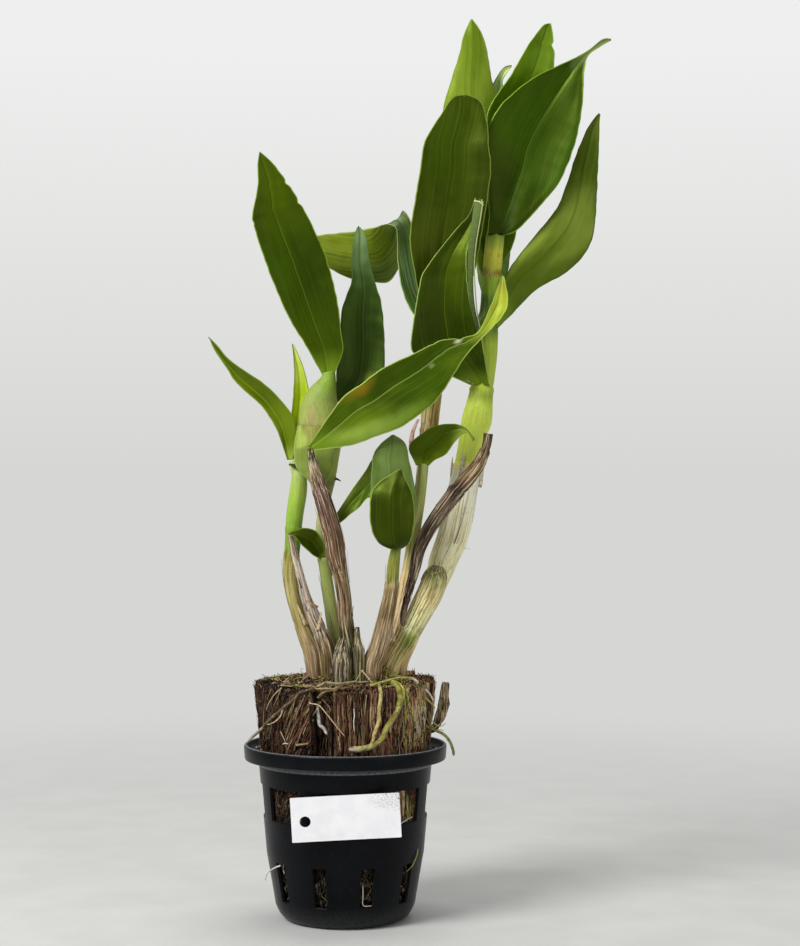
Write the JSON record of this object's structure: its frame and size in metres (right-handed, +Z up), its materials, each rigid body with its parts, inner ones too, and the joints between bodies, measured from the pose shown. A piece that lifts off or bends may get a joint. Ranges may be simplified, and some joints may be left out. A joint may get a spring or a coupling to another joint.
{
  "type": "potted dendrobium orchid",
  "caption": "Potted dendrobium orchid with upright canes and leathery leaves, rooted in a husk block in a black slotted pot with a blank tag.",
  "frame": {"origin": "middle of the flat foot of the pot", "axes": "+Z up, +X towards the side that the canes lean to, -Y towards the front, where the tag lies"},
  "size_m": [0.2163, 0.109, 0.4871],
  "materials": {
    "pot_plastic": "black moulded plastic, slightly glossy, dusty on the lip",
    "label_plastic": "smooth white plastic sheet with a few specks of dirt",
    "potting_bark": "coarse dark bark and charcoal",
    "root_mass": "matted roots and moss",
    "husk": "fibrous red-brown coconut husk with tan fibres",
    "root": "matt fleshy root, yellow-green to cream",
    "green_cane": "smooth green cane with papery sheaths below",
    "dry_cane": "dry papery tan cane with lengthwise ridges",
    "leaf": "leathery dark green blade with a soft gloss and a paler midrib and margin"
  },
  "bodies": {
    "root": {"pot": "pot_plastic", "plant_label": "label_plastic", "potting_fill": "potting_bark", "root_crown": "root_mass", "husk_chip_01": "husk", "husk_chip_02": "husk", "husk_chip_03": "husk", "husk_chip_04": "husk", "husk_chip_05": "husk", "husk_chip_06": "husk", "husk_chip_07": "husk", "husk_chip_08": "husk", "husk_chip_09": "husk", "husk_chip_10": "husk", "husk_chip_11": "husk", "husk_splinter": "husk", "root_01": "root", "root_02": "root", "root_03": "root", "root_04": "root", "root_05": "root", "cane_01": "green_cane", "cane_02": "dry_cane", "cane_03": "dry_cane", "cane_04": "green_cane", "cane_05": "dry_cane", "cane_06": "dry_cane", "cane_07": "dry_cane", "cane_08": "dry_cane", "cane_09": "green_cane", "cane_10": "green_cane", "cane_11": "dry_cane", "cane_12": "dry_cane", "leaf_01": "leaf", "leaf_02": "leaf", "leaf_03": "leaf", "leaf_04": "leaf", "leaf_05": "leaf", "leaf_06": "leaf", "leaf_07": "leaf", "leaf_08": "leaf", "leaf_09": "leaf", "leaf_10": "leaf", "leaf_11": "leaf", "leaf_12": "leaf", "leaf_13": "leaf", "leaf_14": "leaf", "leaf_15": "leaf", "leaf_16": "leaf", "leaf_17": "leaf", "leaf_18": "leaf", "leaf_19": "leaf"}
  },
  "joints": []
}
